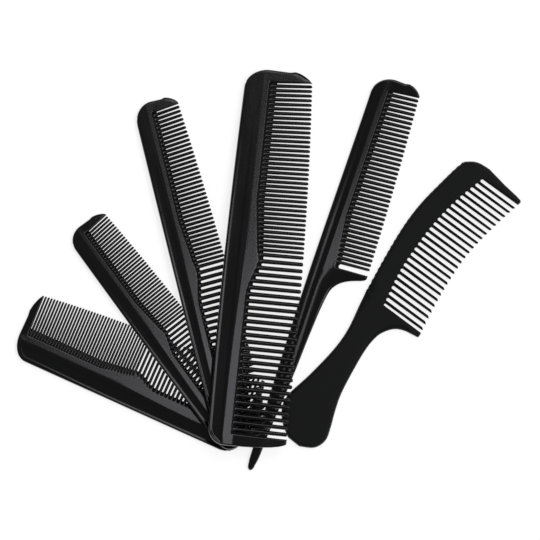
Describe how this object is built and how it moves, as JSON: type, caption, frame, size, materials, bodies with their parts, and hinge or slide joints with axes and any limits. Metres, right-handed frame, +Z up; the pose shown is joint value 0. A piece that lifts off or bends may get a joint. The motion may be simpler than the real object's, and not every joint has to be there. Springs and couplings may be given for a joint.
{
  "type": "hair comb",
  "caption": "Set of black moulded plastic hair combs fanned out on a table: dressing and pocket combs with fine and coarse teeth, a rat-tail comb and a wide-tooth handle comb.",
  "frame": {"origin": "on the table, under the middle of the fanned set's plan", "axes": "+Z up from the table, +Y towards the combs' outer ends along the middle comb, +X to the right as seen from above with the handle comb on the right"},
  "size_m": [0.28, 0.2225, 0.017],
  "materials": {
    "gloss_black": "moulded black plastic, semi-gloss",
    "satin_black": "moulded black plastic, satin"
  },
  "bodies": {
    "tail_comb": {"tail_comb": "gloss_black"},
    "handle_comb": {"handle_comb": "satin_black"},
    "pocket_comb": {"pocket_comb": "gloss_black"},
    "small_dressing_comb": {"small_dressing_comb": "gloss_black"},
    "barber_comb": {"barber_comb": "gloss_black"},
    "large_dressing_comb": {"large_dressing_comb": "gloss_black"}
  },
  "joints": [
    {"name": "pocket_lift", "type": "slide", "parent": "tail_comb", "child": "pocket_comb", "axis": [0, 0, 1], "range_m": [0, 0.04]},
    {"name": "small_dressing_lift", "type": "slide", "parent": "pocket_comb", "child": "small_dressing_comb", "axis": [0, 0, 1], "range_m": [0, 0.04]},
    {"name": "barber_lift", "type": "slide", "parent": "small_dressing_comb", "child": "barber_comb", "axis": [0, 0, 1], "range_m": [0, 0.04]},
    {"name": "large_dressing_lift", "type": "slide", "parent": "barber_comb", "child": "large_dressing_comb", "axis": [0, 0, 1], "range_m": [0, 0.04]},
    {"name": "handle_draw", "type": "slide", "parent": "tail_comb", "child": "handle_comb", "axis": [1, 0, 0], "range_m": [0, 0.06]}
  ]
}
